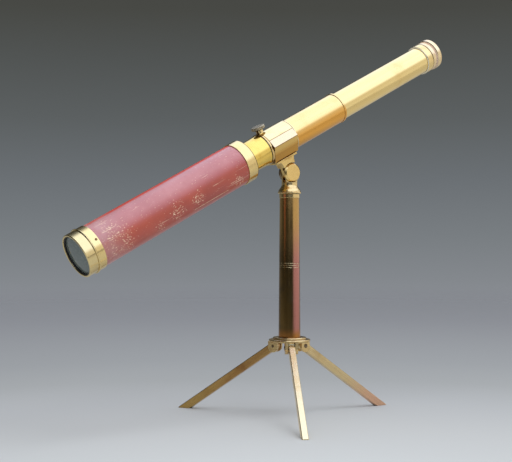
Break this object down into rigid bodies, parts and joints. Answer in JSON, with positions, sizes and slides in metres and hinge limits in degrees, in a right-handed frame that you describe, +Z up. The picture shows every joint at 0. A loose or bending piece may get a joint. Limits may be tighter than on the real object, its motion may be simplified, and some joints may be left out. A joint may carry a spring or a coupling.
{
  "type": "telescope",
  "caption": "Brass draw-tube refracting telescope with a red japanned barrel, tilting on a turned pillar with folding legs.",
  "frame": {"origin": "on the floor, under the centre of the bounding box; the pillar's axis stands 24.8 mm towards +X", "axes": "+Z up; +X along the floor towards the eyepiece, so the optical axis lies in the XZ plane; +Y to the far side of the picture"},
  "size_m": [0.541, 0.2698, 0.4843],
  "materials": {
    "bright_brass": "polished and lacquered yellow brass",
    "stand_brass": "polished brass toned dark with age",
    "leg_brass": "brushed brass with worn lacquer",
    "red_japan": "semi-gloss dull red japan over brass, scratched",
    "black_brass": "matt black stain on brass",
    "dark_steel": "dark blued steel",
    "lens_glass": "polished clear optical glass"
  },
  "bodies": {
    "stand": {"pillar": "stand_brass", "pillar_bush": "stand_brass", "tripod_hub": "stand_brass", "leg_pins": "dark_steel"},
    "head": {"swivel_head": "stand_brass", "hinge_pin": "bright_brass", "hinge_nut": "dark_steel", "swivel_spindle": "dark_steel", "spindle_nut": "dark_steel"},
    "telescope": {"objective_cell": "bright_brass", "lens_ring": "black_brass", "crown_lens": "lens_glass", "lens_spacer": "dark_steel", "flint_lens": "lens_glass", "front_ferrule": "bright_brass", "ferrule_screws": "bright_brass", "barrel_tube": "red_japan", "barrel_stop": "black_brass", "rear_ferrule": "bright_brass", "tube_neck": "bright_brass", "tube_block": "bright_brass", "guide_tube": "bright_brass", "guide_ring": "bright_brass", "tilt_bracket": "bright_brass"},
    "draw": {"draw_tube": "bright_brass", "draw_stop_ring": "black_brass", "erector_cell": "black_brass", "erector_front_lens": "lens_glass", "erector_rear_lens": "lens_glass", "eyepiece_collar": "bright_brass", "eyepiece_tube": "black_brass", "field_lens": "lens_glass", "field_stop": "black_brass", "eye_lens": "lens_glass", "eye_cap": "bright_brass"},
    "lock": {"lock_screw": "bright_brass"},
    "right_leg": {"leg_right": "leg_brass"},
    "back_leg": {"leg_back": "leg_brass"},
    "front_leg": {"leg_front": "leg_brass"}
  },
  "joints": [
    {"name": "pan", "type": "hinge", "parent": "stand", "child": "head", "pos_m": [0.02483, 0, 0.2715], "axis": [0, 0, 1], "continuous": true},
    {"name": "tilt", "type": "hinge", "parent": "head", "child": "telescope", "pos_m": [0.02483, 0, 0.2973], "axis": [0, 1, 0], "range_deg": [-32.7, 87.3]},
    {"name": "focus_slide", "type": "slide", "parent": "telescope", "child": "draw", "axis": [0.8886, 0, 0.4587], "range_m": [-0.1587, 0.012]},
    {"name": "lock_turn", "type": "hinge", "parent": "telescope", "child": "lock", "pos_m": [-0.02213, 0, 0.34925], "axis": [-0.4587, 0, 0.8886], "range_deg": [0, 360]},
    {"name": "leg_right_fold", "type": "hinge", "parent": "stand", "child": "right_leg", "pos_m": [0.04403, 0, 0.085], "axis": [0, 1, 0], "range_deg": [0, 56.1]},
    {"name": "leg_back_fold", "type": "hinge", "parent": "stand", "child": "back_leg", "pos_m": [0.01523, 0.01663, 0.085], "axis": [-0.866, -0.5, 0], "range_deg": [0, 56.1]},
    {"name": "leg_front_fold", "type": "hinge", "parent": "stand", "child": "front_leg", "pos_m": [0.01523, -0.01663, 0.085], "axis": [0.866, -0.5, 0], "range_deg": [0, 56.1]}
  ]
}
